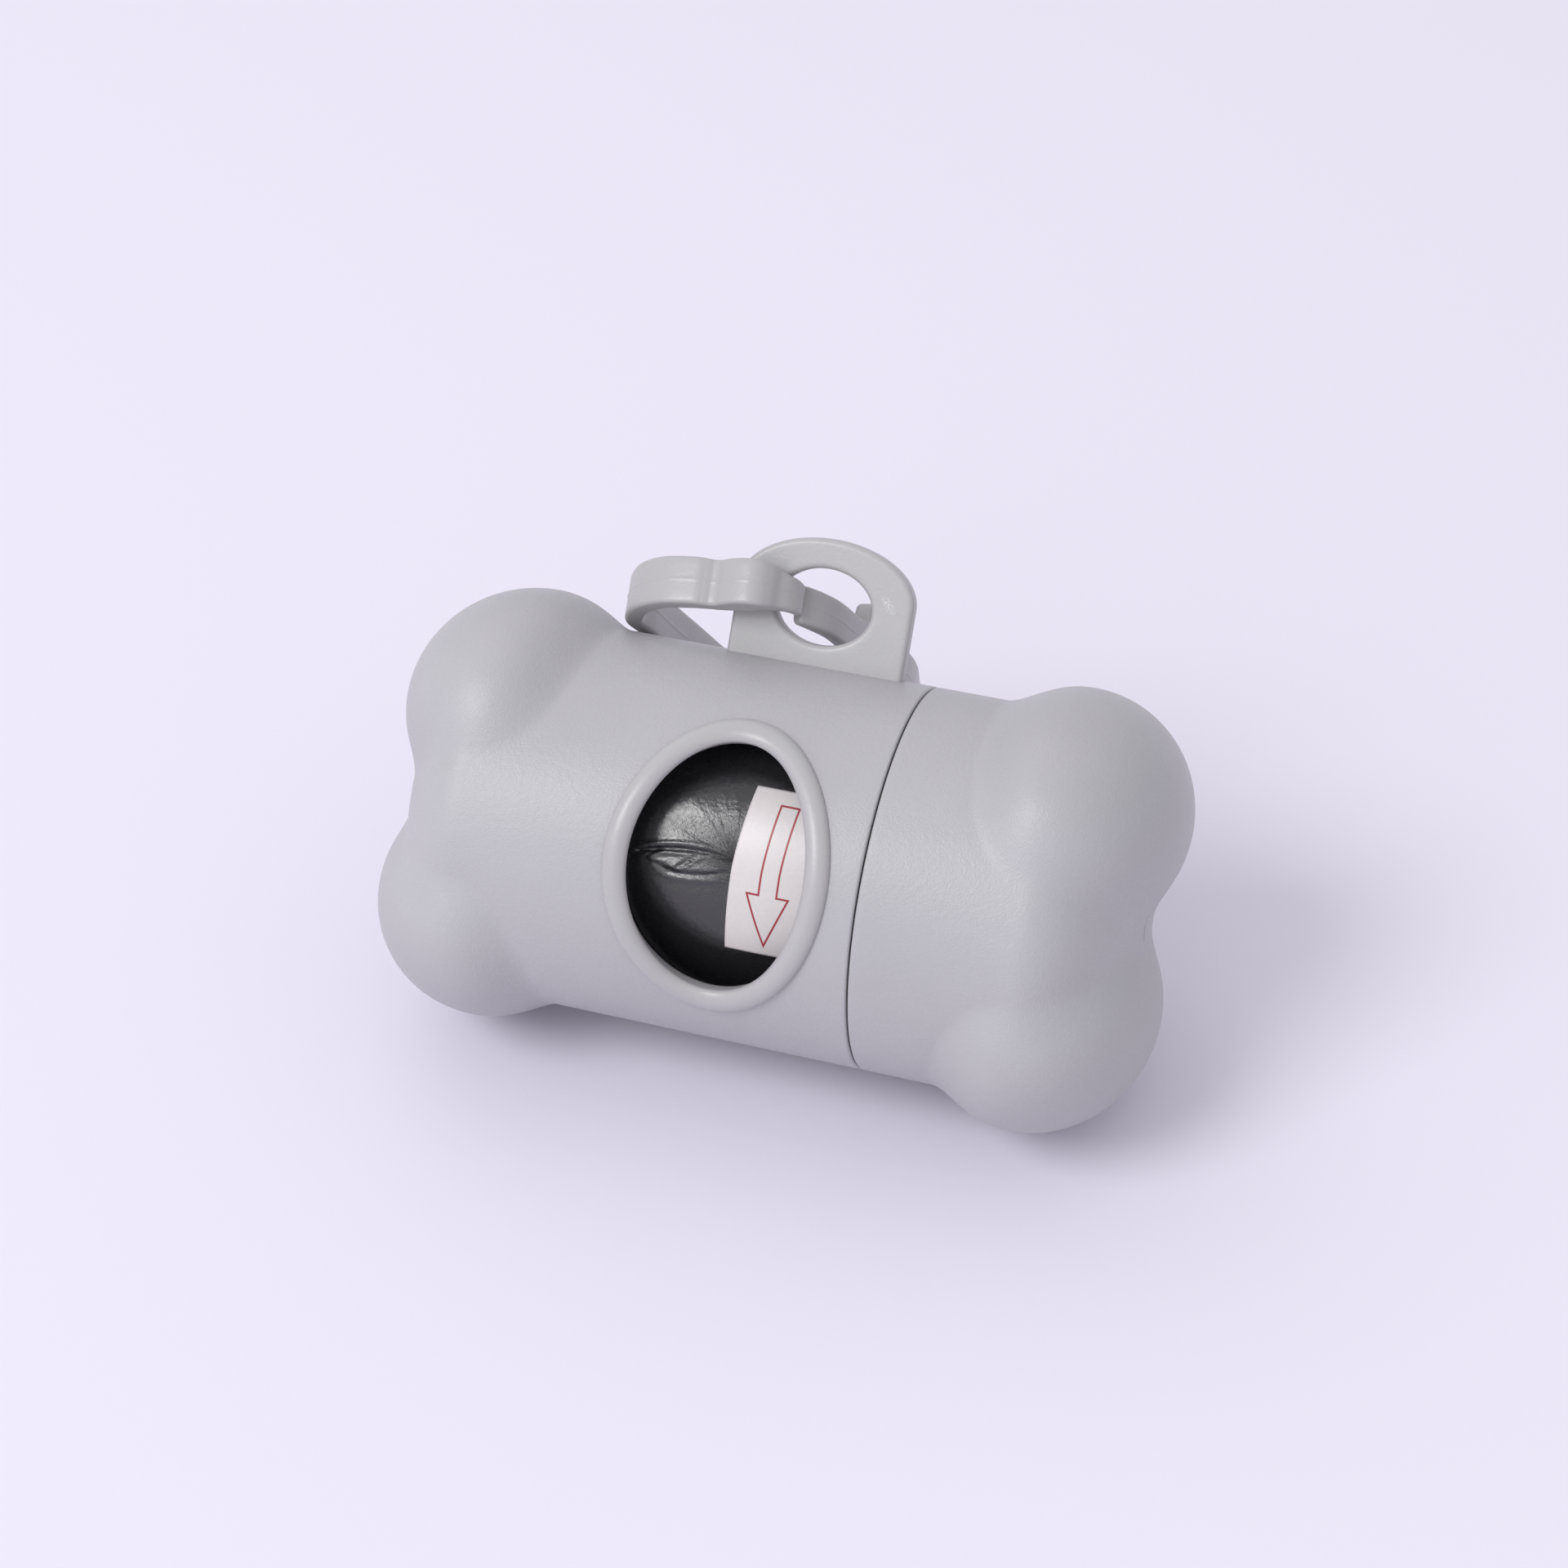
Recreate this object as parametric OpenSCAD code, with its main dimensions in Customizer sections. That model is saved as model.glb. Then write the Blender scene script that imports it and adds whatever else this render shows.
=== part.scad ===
// Bone shaped dispenser for rolls of dog waste bags, lying back on its clip.
// The long axis of the bone runs along X with the cap at +X, and it stands on Z = 0.

/* [Case] */
// Diameter of the waist of the bone
case_d = 40; // [38.5:0.5:42]
// Distance of the lobes' centres from the middle, along the bone
lobe_x = 29; // [28:0.5:34]
// Distance of each lobe's centre from the long axis
lobe_off = 10; // [8:0.25:12]
// How far the lobes rise over the waist, in the bone's flat outline
lobe_rise = 2.8; // [2:0.1:4]
// Reach of a lobe towards the bone's end, from its centre
lobe_reach = 12.5; // [11:0.1:13]
// How much thinner the bone is at its lobes than at its waist, on each side
lobe_thin = 1.3; // [0.5:0.1:1.6]
// Half of the length of the straight waist
waist_x = 18; // [17:0.25:19]
// Reach of the notch between two lobes, from the lobes' centres
notch_reach = 9.8; // [8:0.1:11]
// Wall of the moulded shells
wall = 1.2; // [0.8:0.1:1.3]
// Gap between the body and the cap at the seam
seam_gap = 0.15; // [0.1:0.05:0.4]
// Turn of the cap past the line of the body
cap_twist = 4.5; // [0:0.5:10]

/* [Window] */
// Middle of the window along the bone
window_x = -1.7; // [-3:0.1:-1]
// Width of the window's opening, along the bone
window_w = 17.8; // [14:0.2:18.6]
// Height of the window's opening, across the bone
window_h = 24.2; // [18:0.2:25]
// Width of the rim's bead round the opening
rim_w = 2.55; // [2:0.05:2.7]
// How far the rim stands out of the case
rim_h = 0.9; // [0.4:0.05:1.5]
// Wall of the rim's skirt, in the opening of the case
skirt_t = 1; // [0.8:0.1:1.4]
// Depth of the rim's skirt under the case
skirt_l = 1.5; // [1.3:0.1:2.5]

/* [Hanger tab] */
// Middle of the tab along the bone
tab_x = 0.3; // [-1:0.1:1]
// Width of the tab
tab_w = 18.8; // [17:0.2:19.6]
// Thickness of the tab
tab_t = 2.2; // [1.8:0.1:2.4]
// Height of the tab's straight sides over the middle of its hole
tab_side_h = 1.2; // [0.5:0.1:2]
// Rise of the tab's round top over its straight sides
tab_arch_h = 5.8; // [5:0.1:7]
// Width of the tab's hole
eye_w = 10.2; // [10:0.1:11]
// Height of the tab's hole
eye_h = 7.9; // [7.7:0.1:8.4]
// Middle of the hole over the top of the lobes
eye_up = 3.3; // [3:0.1:4]
// Reach of the foot in the case past the tab's sides
foot_side = 0.5; // [0.3:0.1:0.6]
// Width of the foot across the bone
foot_w = 8.8; // [6:0.2:10]
// Thickness of the foot
foot_t = 1.2; // [0.8:0.1:1.3]

/* [Inner sleeve] */
// Room round the sleeve in the case, for the neck's ridges and the cap's collar
collar_room = 2; // [1.6:0.1:2.4]
// Wall of the sleeve
sleeve_wall = 0.9; // [0.7:0.1:1]
// How far the sleeve's closed end lies past the middle of the lobes
sleeve_past = 2.4; // [1.6:0.2:3]
// Room round the window in the sleeve
sleeve_clear = 1.6; // [0.3:0.1:2]
// Length of the neck that the cap goes over
neck_l = 8.6; // [7:0.2:10]
// Width and height of each ridge on the neck
ridge_w = 0.9; // [0.6:0.1:1.2]
ridge_h = 0.5; // [0.3:0.05:0.6]
// Width of the rings that centre the sleeve in the case
seat_w = 2.4; // [1.6:0.2:3]
// Room between the tab's foot and the ring beside it
seat_clear = 0.25; // [0.15:0.05:0.6]

/* [Bag roll] */
// Play between the roll and the sleeve's bore, on each side
roll_play = 0.4; // [0.3:0.05:1.2]
// Play at each end of the roll
end_play = 0.5; // [0.3:0.1:4]
// Thickness of the first bag, wound round the roll
lead_t = 0.25; // [0.15:0.05:0.4]
// Outer diameter of the paper core
core_d = 10; // [8:0.5:14]
// Wall of the paper core
core_wall = 1; // [0.6:0.1:1.4]
// Thickness of the paper label
label_t = 0.12; // [0.1:0.01:0.2]
// Width of the label, along the roll
label_w = 8; // [6:0.5:12]
// Middle of the label along the bone
label_x = 3; // [0:0.5:4]
// Angle of the roll that the label covers
label_angle = 64; // [40:1:90]

/* [Clip] */
// Length of the clip
clip_l = 61; // [60.6:0.2:64]
// How far the clip's far side reaches over the flank of the lobes
clip_side = 3.1; // [1:0.1:3.2]
// How far the clip hangs from square to the tab
clip_drop = 20.15; // [18:0.05:21]
// Height of the clip's band
band_w = 5; // [4.4:0.1:5]
// Height of the hook that goes through the tab
hook_w = 3.6; // [3:0.1:3.7]
// Thickness of the band
band_t = 1.9; // [1.6:0.05:2]
// Sideways tilt of the clip
clip_roll = 6; // [5:0.5:7]
// Height of the lug on the band, over its edge
lug_h = 1.9; // [1:0.1:2.5]

/* [Hidden] */
$fn = 96;

// Clearances: pieces that lie loose, pieces that turn or slide, and a snug seat
gap_loose = 0.3;
gap_run = 0.15;
gap_snug = 0.05;
// Every cut runs past the surface by this much
over = 1;
// Softness of the notch between two lobes, and of the flank between waist and lobe
notch_soft = 4;
flank_soft = 2;

case_r = case_d / 2;
inner_r = case_r - wall;
lobe_r = case_r + lobe_rise - lobe_off;
lobe_deep = case_r - lobe_thin;
flank_reach = lobe_x - waist_x;
sleeve_r = inner_r - collar_room;
bore_r = sleeve_r - sleeve_wall;
sleeve_l = lobe_x + sleeve_past;
ridge_r = sleeve_r + ridge_h;
// The cap meets the body past the tab's foot and the ring that centres the sleeve there
seam_x = tab_x + tab_w / 2 + foot_side + seat_clear + seat_w + seam_gap;
neck_x = seam_x + neck_l;
roll_r = bore_r - roll_play;
roll_l = 2 * (sleeve_l - sleeve_wall - end_play);
eye_z = case_r + lobe_rise + eye_up;
// The hook passes the eye a little over its middle
hinge_z = eye_z + eye_h * 0.05;

shell_colour = [0.72, 0.72, 0.74];
fitting_colour = [0.68, 0.68, 0.69];
film_colour = [0.03, 0.03, 0.035];
paper_colour = [0.93, 0.92, 0.90];
card_colour = [0.62, 0.50, 0.36];

// Far end of the clip, which lies on the surface that the lobes stand on
far_share = 0.892;
far_side_share = -0.207;
side_share = -0.782;
clip_w = (waist_x + clip_side) / -side_share;
far_t = far_share * clip_l + band_t / 2;
edge = band_w / 2 * cos(clip_roll);
far_tilt = far_side_share * clip_w * sin(clip_roll);
// Height of the long axis over that surface when the bone leans back by a, and of the clip's far end
function axis_up(a) = lobe_off * cos(a) + norm([lobe_r * cos(a), lobe_deep * sin(a)]);
function far_up(a) = axis_up(a) + hinge_z * cos(a) - gap_snug
    - far_t * sin(a + clip_drop) - (edge - far_tilt) * cos(a + clip_drop);
// The bone leans back until the far end comes down: the lean is halved in on, n times
function lean_between(a, b, n) =
    let (m = (a + b) / 2) n == 0 ? m : far_up(m) > 0 ? lean_between(m, b, n - 1) : lean_between(a, m, n - 1);
lean = lean_between(0, 90 - clip_drop, 40);
axis_z = axis_up(lean);
clip_fall = lean + clip_drop;
// Front and back of the whole object, which put its middle at Y = 0
front_y = lobe_off * sin(lean) + norm([lobe_r * sin(lean), lobe_deep * cos(lean)]);
back_y = hinge_z * sin(lean) + far_t * cos(clip_fall) + (edge + far_tilt) * sin(clip_fall);
axis_y = (front_y - back_y) / 2;

// Puts what is drawn upright round the long axis into the leaning bone
module leaning() {
    translate([0, axis_y, axis_z]) rotate([-lean, 0, 0]) children();
}

// A round bar or ring along the long axis, from one place to another
module bar(from, to, r) {
    translate([from, 0, 0]) rotate([0, 90, 0]) cylinder(h = to - from, r = r);
}
module ring(from, to, r_out, r_in) {
    difference() {
        bar(from, to, r_out);
        bar(from - over, to + over, r_in);
    }
}

oval_sides = 48;
function oval_points(w, h) =
    [for (i = [0 : oval_sides - 1]) let (a = 360 * i / oval_sides) [w / 2 * cos(a), h / 2 * sin(a)]];

// An oval bar out of the front of the bone, over the window's middle
module window_bar(grow, reach) {
    translate([window_x, 0, 0]) rotate([90, 0, 0]) linear_extrude(reach)
        polygon(oval_points(window_w + 2 * grow, window_h + 2 * grow));
}

function smooth_max(a, b, k) = max(a, b) + k / 4 * pow(max(k - abs(a - b), 0) / k, 2);

// Distance from the axis point [x, 0, 0] to a lobe's far side, in direction u
function lobe_hit(x, u, up) =
    let (c = [lobe_x - x, 0, up * lobe_off],
         reach = c[0] > 0 ? flank_reach : lobe_reach,
         a = pow(u[0] / reach, 2) + pow(u[1] / lobe_deep, 2) + pow(u[2] / lobe_r, 2),
         b = c[0] * u[0] / pow(reach, 2) + c[2] * u[2] / pow(lobe_r, 2),
         k = pow(c[0] / reach, 2) + pow(c[2] / lobe_r, 2) - 1,
         d = b * b - a * k)
    d > 0 ? max(0, (b + sqrt(d)) / a) : 0;

// Distance from the axis to the bone's skin: two lobes blended, then blended with the waist
function skin(x, u) =
    let (lobes = smooth_max(lobe_hit(x, u, 1), lobe_hit(x, u, -1), notch_soft),
         waist = 1 / norm([u[0] / notch_reach, u[1] / case_r, u[2] / case_r]))
    smooth_max(lobes, waist, flank_soft);

// Rows of one half: one at the seam, some up the flank, then a fan over the lobes' end
flank_rows = 10;
fan_rows = 12;
columns = 72;
function half_rows(from) =
    concat([[from, 90]],
           [for (i = [0 : flank_rows]) [lobe_x - flank_reach * (1 - i / flank_rows), 90]],
           [for (i = [1 : fan_rows - 1]) [lobe_x, 90 - 90 * i / fan_rows]]);
function skin_ring(x, polar, inset) =
    [for (j = [0 : columns - 1])
        let (f = 360 * j / columns, u = [cos(polar), -sin(polar) * sin(f), sin(polar) * cos(f)])
        [x, 0, 0] + u * (skin(x, u) - inset)];

// One end of the bone as a shell: open at a place on the waist, with its tip at +X
module shell_end(from) {
    rows = half_rows(from);
    last = (len(rows) - 1) * columns;
    tip_at = len(rows) * columns;
    sides = [for (i = [0 : len(rows) - 2], j = [0 : columns - 1])
        let (k = (j + 1) % columns, a = i * columns)
        each [[a + j, a + columns + j, a + k], [a + k, a + columns + j, a + columns + k]]];
    fan = [for (j = [0 : columns - 1]) [last + j, tip_at, last + (j + 1) % columns]];
    // The inner skin has the same faces, turned round, and a flat ring joins both at the mouth
    inner_at = tip_at + 1;
    inner = [for (f = concat(sides, fan)) [f[2] + inner_at, f[1] + inner_at, f[0] + inner_at]];
    mouth = [for (j = [0 : columns - 1])
        let (k = (j + 1) % columns)
        each [[k, k + inner_at, j], [k + inner_at, j + inner_at, j]]];
    points = [for (inset = [0, wall]) each concat(
        [for (row = rows) each skin_ring(row[0], row[1], inset)],
        [[lobe_x + skin(lobe_x, [1, 0, 0]) - inset, 0, 0]])];
    polyhedron(points, concat(sides, fan, inner, mouth));
}

// The long half of the bone, with the window's opening and the tab's slot
module body_shell() {
    slot_w = tab_w + 2 * gap_snug;
    slot_t = tab_t + 2 * gap_snug;
    color(shell_colour) leaning() difference() {
        mirror([1, 0, 0]) shell_end(seam_gap / 2 - seam_x);
        window_bar(skirt_t + gap_snug, case_d);
        translate([tab_x - slot_w / 2, -slot_t / 2, 0]) cube([slot_w, slot_t, case_d]);
    }
}

// The short half, which comes off to load a roll
module cap_shell() {
    color(shell_colour) leaning() rotate([cap_twist, 0, 0]) shell_end(seam_x + seam_gap / 2);
}

// The ring in the cap that goes over the neck
module cap_collar() {
    from = seam_x + seam_gap;
    to = neck_x - ridge_w;
    color(fitting_colour) leaning() ring(from, to, inner_r - gap_snug, ridge_r + gap_run);
}

// The tube that holds the roll: closed at one end, and a ridged neck at the other
module inner_sleeve() {
    // One centring ring stands at the lobes and one at the seam, and three ridges on the neck
    seats = [-lobe_x + 2 * seat_w, seam_x - seat_w - seam_gap];
    ridges = [for (share = [0.3, 0.55, 0.8]) seam_x + neck_l * share];
    color(fitting_colour) leaning() difference() {
        union() {
            bar(-sleeve_l, neck_x, sleeve_r);
            for (x = seats) bar(x, x + seat_w, inner_r - gap_snug);
            for (x = ridges) bar(x, x + ridge_w, ridge_r);
        }
        bar(sleeve_wall - sleeve_l, neck_x + over, bore_r);
        window_bar(sleeve_clear, case_d);
    }
}

// The oval bezel: a round bead on the case, and a skirt through its opening
module window_rim() {
    bead_steps = 3;
    color(fitting_colour) leaning() {
        difference() {
            intersection() {
                window_bar(skirt_t, case_d);
                bar(-case_d, case_d, case_r + rim_h / bead_steps);
            }
            bar(-case_d - over, case_d + over, case_r - skirt_l);
            window_bar(0, case_d + over);
        }
        for (i = [0 : bead_steps - 1]) {
            inset = rim_w / 2 * (1 - sqrt(1 - pow(i / bead_steps, 2)));
            difference() {
                intersection() {
                    window_bar(rim_w - inset, case_d);
                    bar(-case_d, case_d, case_r + rim_h * (i + 1) / bead_steps);
                }
                bar(-case_d - over, case_d + over, case_r + max(rim_h * i / bead_steps, gap_snug));
                window_bar(inset, case_d + over);
            }
        }
    }
}

// The flat tab with its oval eye, and the curved foot that keeps it in the case
module hanger_tab() {
    foot_r = inner_r - gap_run;
    side_z = eye_z + tab_side_h;
    arch_sides = 32;
    arch = [for (i = [0 : arch_sides])
        let (a = 180 * i / arch_sides) [tab_w / 2 * cos(a), side_z + tab_arch_h * sin(a)]];
    color(fitting_colour) leaning() translate([tab_x, 0, 0]) {
        difference() {
            translate([0, tab_t / 2, 0]) rotate([90, 0, 0]) linear_extrude(tab_t)
                polygon(concat([[-tab_w / 2, foot_r - foot_t / 2], [tab_w / 2, foot_r - foot_t / 2]], arch));
            translate([0, tab_t, eye_z]) rotate([90, 0, 0]) linear_extrude(2 * tab_t)
                polygon(oval_points(eye_w, eye_h));
        }
        intersection() {
            ring(-tab_w / 2 - foot_side, tab_w / 2 + foot_side, foot_r, foot_r - foot_t);
            translate([-tab_w, -foot_w / 2, 0]) cube([2 * tab_w, foot_w, case_r]);
        }
    }
}

// The paper tube, the wound bags, and the first bag round them
module roll_core() {
    color(card_colour) leaning() ring(-roll_l / 2, roll_l / 2, core_d / 2, core_d / 2 - core_wall);
}
module bag_roll() {
    outside = roll_r - lead_t - gap_snug;
    color(film_colour) leaning() ring(-roll_l / 2, roll_l / 2, outside, core_d / 2 + gap_snug);
}
module lead_bag() {
    color(film_colour) leaning() ring(-roll_l / 2, roll_l / 2, roll_r, roll_r - lead_t);
}

// The label's share of the roll's round, as a wedge in front of the window
module paper_label() {
    from = label_x - label_w / 2;
    under_r = roll_r + gap_snug;
    corner = 2 * roll_r * [cos(label_angle / 2), sin(label_angle / 2)];
    color(paper_colour) leaning() intersection() {
        ring(from, from + label_w, under_r + label_t, under_r);
        translate([from - over, 0, 0]) rotate([90, 0, 90]) linear_extrude(label_w + 2 * over)
            polygon([[0, 0], [-corner[0], -corner[1]], [-corner[0], corner[1]]]);
    }
}

// Middle line of the clip's band: shares of the clip's width and length, and of the band's thickness
frame_shares = [
    [-0.752, 0.026, 1], [side_share, 0.074, 1], [-0.757, 0.130, 1], [-0.729, 0.229, 1], [-0.694, 0.319, 1],
    [-0.659, 0.417, 1], [-0.604, 0.565, 1], [-0.567, 0.698, 1], [-0.489, 0.804, 1], [-0.356, 0.874, 1],
    [far_side_share, far_share, 1], [-0.059, 0.874, 1], [0.081, 0.804, 1], [0.148, 0.698, 1],
    [0.165, 0.565, 1], [0.167, 0.449, 1], [0.142, 0.365, 1], [0.092, 0.286, 1], [0.052, 0.211, 1],
    [0.028, 0.153, 0.9], [0.006, 0.105, 0.85], [-0.019, 0.073, 0.85], [-0.056, 0.042, 0.85],
    [-0.089, 0.007, 0.85], [-0.107, -0.034, 0.75]];
arm_shares = [
    [-0.752, 0.026, 1], [-0.674, -0.011, 0.88], [-0.567, -0.038, 0.9], [-0.478, -0.056, 1.1],
    [-0.444, -0.059, 0.88], [-0.404, -0.064, 1.15], [-0.307, -0.071, 1.42], [-0.226, -0.066, 1.42],
    [-0.159, -0.056, 0.95], [-0.096, -0.047, 0.4]];
// Where the hook's narrow part ends, and the lug over the band, as shares of the clip's length
hook_share = 0.205;
lug_from_share = 0.212;
lug_to_share = 0.268;

// A smooth line through the points p, with n steps from each to the next
function bend(p, n) =
    [for (i = [0 : len(p) - 2], j = [0 : n - 1])
        let (a = p[max(i - 1, 0)], b = p[i], c = p[i + 1], d = p[min(i + 2, len(p) - 1)],
             t = j / n, square = 2 * a - 5 * b + 4 * c - d, cube = 3 * b - a - 3 * c + d)
        b + ((c - a) * t + square * t * t + cube * t * t * t) / 2];
function line_points(shares) =
    let (p = [for (s = shares) [s[0] * clip_w, s[1] * clip_l, s[2] * band_t / 2]])
    concat(bend(p, 4), [p[len(p) - 1]]);
// Both sides of a band along the line, as one outline
function band_outline(line) =
    let (n = len(line) - 1,
         side = [for (i = [0 : n])
            let (d = line[min(i + 1, n)] - line[max(i - 1, 0)], m = norm([d[0], d[1]]))
            [-d[1], d[0]] / m * line[i][2]],
         middle = [for (q = line) [q[0], q[1]]])
    concat([for (i = [0 : n]) middle[i] + side[i]], [for (i = [n : -1 : 0]) middle[i] - side[i]]);

pivot = [frame_shares[0][0] * clip_w, frame_shares[0][1] * clip_l];

// Puts what is drawn flat, with X across the clip and Y along it, into the eye of the tab
module hanging() {
    leaning() translate([tab_x, 0, hinge_z]) rotate([-clip_drop, 0, 0]) rotate([0, -clip_roll, 0]) children();
}

module band(shares, h) {
    linear_extrude(h, center = true) polygon(band_outline(line_points(shares)));
}

// A block over the hook's side of the clip, from one share of its length to another
module hook_side(from_share, to_share) {
    long = clip_l * (to_share - from_share);
    translate([-clip_w / 3, clip_l * from_share, -band_w]) cube([clip_w, long, 2 * band_w]);
}

// The loop, from the root of the arm round the far end to the hook in the eye
module clip_frame() {
    color(fitting_colour) hanging() {
        difference() {
            band(frame_shares, band_w);
            hook_side(-hook_share, hook_share);
            translate([pivot[0], pivot[1], -band_w]) cylinder(h = 2 * band_w, r = band_t / 2 + gap_run);
        }
        intersection() {
            band(frame_shares, hook_w);
            hook_side(-hook_share, hook_share);
        }
        intersection() {
            band(frame_shares, band_w + 2 * lug_h);
            hook_side(lug_from_share, lug_to_share);
            translate([-clip_w, -clip_l, 0]) cube([2 * clip_w, 2 * clip_l, band_w]);
        }
    }
}

// The springy arm that bends out to let a lead in
module latch_arm() {
    color(fitting_colour) hanging() {
        band(arm_shares, band_w);
        translate([pivot[0], pivot[1], -band_w / 2]) cylinder(h = band_w, r = band_t / 2);
    }
}

body_shell();
inner_sleeve();
window_rim();
hanger_tab();
cap_shell();
cap_collar();
roll_core();
bag_roll();
lead_bag();
paper_label();
clip_frame();
latch_arm();
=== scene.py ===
import math

import bmesh
import bpy
import numpy as np
from mathutils import Matrix, Vector


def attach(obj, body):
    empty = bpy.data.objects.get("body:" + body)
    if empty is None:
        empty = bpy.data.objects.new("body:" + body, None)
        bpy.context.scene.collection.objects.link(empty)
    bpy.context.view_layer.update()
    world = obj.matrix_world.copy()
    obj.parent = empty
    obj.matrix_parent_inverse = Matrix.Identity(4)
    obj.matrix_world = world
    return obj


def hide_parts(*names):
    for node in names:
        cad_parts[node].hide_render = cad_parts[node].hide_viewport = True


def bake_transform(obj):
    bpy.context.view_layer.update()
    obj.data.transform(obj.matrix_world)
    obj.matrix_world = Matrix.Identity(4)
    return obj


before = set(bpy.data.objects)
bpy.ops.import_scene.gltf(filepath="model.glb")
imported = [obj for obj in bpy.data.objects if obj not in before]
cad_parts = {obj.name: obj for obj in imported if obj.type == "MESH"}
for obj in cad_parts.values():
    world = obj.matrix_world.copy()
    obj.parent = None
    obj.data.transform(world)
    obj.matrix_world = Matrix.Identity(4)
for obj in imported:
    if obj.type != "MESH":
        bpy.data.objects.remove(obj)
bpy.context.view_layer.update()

# Sizes in millimetres and angles in degrees, as the solids have them
MM = 0.001
CASE_R, WALL = 20.0, 1.2
LOBE_X, LOBE_OFF, LOBE_R, LOBE_DEEP = 29.0, 10.0, 12.8, 18.7
LOBE_REACH, FLANK_REACH, NOTCH_REACH = 12.5, 11.0, 9.8
NOTCH_SOFT, FLANK_SOFT = 4.0, 2.0
SEAM_X, SEAM_GAP, CAP_TWIST, LEAN = 13.0, 0.15, 4.5, 31.9984
AXIS_Y, AXIS_Z = -13.4828, 23.1784
WINDOW_X, WINDOW_W, WINDOW_H, RIM_W, RIM_H, SKIRT_T, SKIRT_L = -1.7, 17.8, 24.2, 2.55, 0.9, 1.0, 1.5
SLEEVE_R, BORE_R, SLEEVE_L, NECK_X, SEAT_R, RIDGE_R = 16.8, 15.9, 31.4, 21.6, 18.75, 17.3
TAB_X, TAB_W, TAB_T, TAB_SIDE, TAB_ARCH, TAB_FOOT = 0.3, 18.8, 2.2, 7.3, 5.8, 17.6
EYE_W, EYE_H, EYE_Z = 10.2, 7.9, 26.1
ROLL_R, ROLL_L, HOLE_R, SHOULDER = 15.5, 60.0, 5.1, 0.6
LABEL_X, LABEL_W, LABEL_ANGLE, LABEL_T = 3.0, 8.0, 64.0, 0.12
CLIP_L, CLIP_W, BAND_W, HOOK_UP, HOOK_DOWN, BAND_T, LUG_H = 61.0, 26.9821, 5.0, 1.95, 2.15, 1.9, 1.9
HINGE_Z, CLIP_DROP, CLIP_ROLL = 26.495, 20.15, 6.0

# Where the looks leave the solids, to follow the photograph: the bezel's opening is a little wider, taller
# and nearer the cap, the sleeve's window is cut deeper out of sight, and the label is drawn aside at its
# upper end
RIM_SHIFT, RIM_TALLER, RIM_THINNER = 0.14, 0.45, 0.18
CUT_BELOW, CUT_ABOVE = 15.6, 14.4
DRAWN_ASIDE = 0.74
# Where the film is gathered, along the roll and round it, and the film's radius where it lies loose, where
# it is flat under the label, and at the most
KNOT = -0.9, -0.84
FILM_R, FLAT_R, FILM_MOST = 15.62, 15.6, 15.84


# ---------------------------------------------------------------- placing

def turn(points, axis, degrees):
    """Turns points round an axis through the origin: 0 is X, 1 is Y, 2 is Z."""
    c, s = math.cos(math.radians(degrees)), math.sin(math.radians(degrees))
    a, b = [(1, 2), (2, 0), (0, 1)][axis]
    out, p, q = np.array(points, float), points[..., a], points[..., b]
    out[..., a], out[..., b] = c * p - s * q, s * p + c * q
    return out


def leaning(points):
    """Upright bone to the leaning one: back by LEAN round the long axis, then up to its height."""
    return turn(points, 0, -LEAN) + [0, AXIS_Y, AXIS_Z]


def hanging(points):
    """Flat clip, X across, Y along and Z through it, to where it hangs in the eye of the tab."""
    points = turn(turn(points, 1, -CLIP_ROLL), 0, -CLIP_DROP)
    return leaning(points + [TAB_X, 0, HINGE_Z])


# ---------------------------------------------------------------- meshes

def surface(name, rows, across=True, along=False, start=None, end=None, keep=None, extra=None, uv=None):
    """A mesh through a grid of points, rows x columns. across joins the last column to the first, and along
    the last row to the first. start and end are poles that close the first and the last row. keep says
    which four-sided faces stay, extra has further ones as numbers of points, and uv gives each point of the
    grid its place in the piece's own map."""
    n, m = rows.shape[:2]
    i = np.arange(n if along else n - 1)[:, None]
    j = np.arange(m if across else m - 1)[None, :]
    i1, j1 = (i + 1) % n, (j + 1) % m
    quads = np.stack([i * m + j, i * m + j1, i1 * m + j1, i1 * m + j], -1)
    if keep is not None:
        quads = quads[keep]
    quads = quads.reshape(-1, 4)
    if extra is not None:
        quads = np.concatenate([quads, extra])
    faces, points, k = quads.tolist(), [rows.reshape(-1, 3)], np.arange(m)
    if start is not None:
        tip = sum(len(p) for p in points)
        points.append(np.reshape(start, (1, 3)))
        faces += np.stack([np.full(m, tip), (k + 1) % m, k], -1).tolist()
    if end is not None:
        tip = sum(len(p) for p in points)
        points.append(np.reshape(end, (1, 3)))
        faces += np.stack([np.full(m, tip), (n - 1) * m + k, (n - 1) * m + (k + 1) % m], -1).tolist()
    points = np.concatenate(points) * MM
    mesh = bpy.data.meshes.new(name)
    mesh.from_pydata(points.tolist(), [], faces)
    if uv is not None:
        spots = np.concatenate([uv.reshape(-1, 2), np.zeros((len(points) - n * m, 2))])
        corner = np.empty(len(mesh.loops), np.int32)
        mesh.loops.foreach_get("vertex_index", corner)
        layer = mesh.uv_layers.new(name="own")
        layer.data.foreach_set("uv", spots[corner].astype(np.float32).ravel())
    mesh.polygons.foreach_set("use_smooth", np.ones(len(mesh.polygons), bool))
    mesh.update()
    piece = bpy.data.objects.new(name, mesh)
    bpy.context.collection.objects.link(piece)
    return piece


def welded(piece, reach=1e-7):
    """Joins the points that lie on each other, so that faces without an area go. The reach is in metres."""
    mesh = bmesh.new()
    mesh.from_mesh(piece.data)
    bmesh.ops.remove_doubles(mesh, verts=mesh.verts, dist=reach)
    mesh.to_mesh(piece.data)
    mesh.free()
    return piece


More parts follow.
